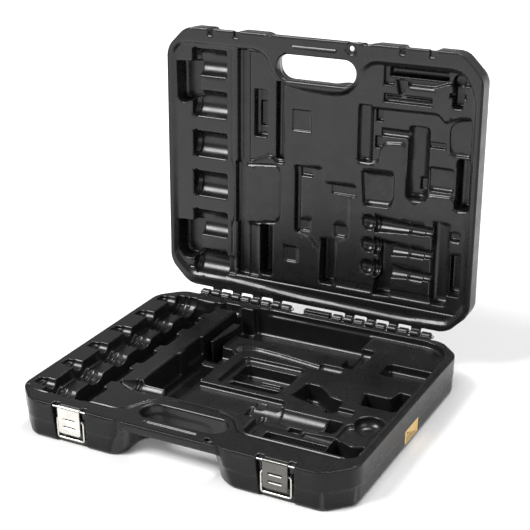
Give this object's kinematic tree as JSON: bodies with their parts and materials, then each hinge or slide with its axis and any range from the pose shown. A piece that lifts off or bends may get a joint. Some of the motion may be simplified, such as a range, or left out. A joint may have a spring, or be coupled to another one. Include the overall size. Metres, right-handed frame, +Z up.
{
  "type": "socket wrench set case",
  "caption": "Empty blow-moulded carrying case for a socket wrench set: hinged base and lid with moulded tool recesses, grip holes and two wire-bail latches.",
  "frame": {"origin": "centre of the base's underside, on the surface the case stands on", "axes": "+X along the hinge to the right, +Y from the handle to the hinge, +Z up"},
  "size_m": [0.45, 0.4262, 0.426],
  "materials": {
    "case_plastic": "black polyethylene, satin, with soft moulded edges",
    "latch_nickel": "nickel-plated stamped sheet and wire, satin bright",
    "pin_steel": "drawn steel rod",
    "label_orange": "blank printed orange-yellow film sticker"
  },
  "bodies": {
    "base": {"base_left_shell": "case_plastic", "base_bay_shell": "case_plastic", "base_right_shell": "case_plastic", "base_handle_bar": "case_plastic", "base_rack_wall": "case_plastic", "base_grip_plate": "case_plastic", "base_tray_wall": "case_plastic", "hinge_pin_left": "pin_steel", "hinge_pin_right": "pin_steel", "latch_pivot_pin_left": "pin_steel", "latch_pivot_pin_right": "pin_steel", "side_label": "label_orange"},
    "lid": {"lid_outer_wall": "case_plastic", "lid_inner_wall": "case_plastic"},
    "lever_left": {"latch_lever_left": "latch_nickel"},
    "lever_right": {"latch_lever_right": "latch_nickel"},
    "bail_left": {"latch_bail_left": "latch_nickel"},
    "bail_right": {"latch_bail_right": "latch_nickel"}
  },
  "joints": [
    {"name": "lid_hinge", "type": "hinge", "parent": "base", "child": "lid", "pos_m": [0, 0.1927, 0.0496], "axis": [1, 0, 0], "range_deg": [0, 92.2]},
    {"name": "lever_left_hinge", "type": "hinge", "parent": "base", "child": "lever_left", "pos_m": [-0.1375, -0.1811, 0.0475], "axis": [-1, 0, 0], "range_deg": [0, 90]},
    {"name": "bail_left_hinge", "type": "hinge", "parent": "lever_left", "child": "bail_left", "pos_m": [-0.1375, -0.1803, 0.033], "axis": [-1, 0, 0], "range_deg": [0, 120]},
    {"name": "lever_right_hinge", "type": "hinge", "parent": "base", "child": "lever_right", "pos_m": [0.1375, -0.1811, 0.0475], "axis": [-1, 0, 0], "range_deg": [0, 90]},
    {"name": "bail_right_hinge", "type": "hinge", "parent": "lever_right", "child": "bail_right", "pos_m": [0.1375, -0.1803, 0.033], "axis": [-1, 0, 0], "range_deg": [0, 120]}
  ]
}
